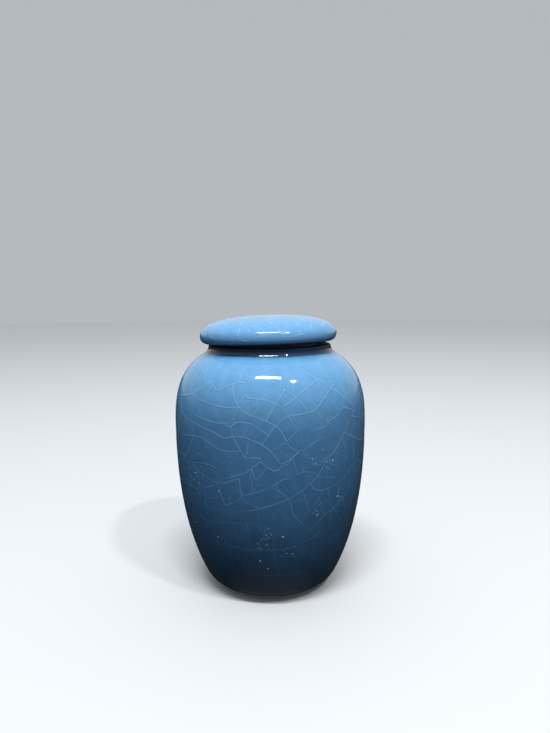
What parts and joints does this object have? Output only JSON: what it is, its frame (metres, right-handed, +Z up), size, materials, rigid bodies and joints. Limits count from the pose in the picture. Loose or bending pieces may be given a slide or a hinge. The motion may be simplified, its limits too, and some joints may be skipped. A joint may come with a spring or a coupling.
{
  "type": "funeral urn",
  "caption": "Small round-shouldered keepsake urn with a lift-off domed lid, in blue crackle-glazed stoneware.",
  "frame": {"origin": "on the jar's axis, on the surface that the foot ring stands on", "axes": "+Z up along the jar's axis, -Y towards the viewer, the lid has slid 0.8 mm towards -X"},
  "size_m": [0.078, 0.078, 0.1105],
  "materials": {
    "jar_glaze": "glossy blue glaze with a fine crackle",
    "lid_glaze": "glossy blue glaze with a fine crackle"
  },
  "bodies": {
    "root": {"jar": "jar_glaze", "lid": "lid_glaze"}
  },
  "joints": []
}
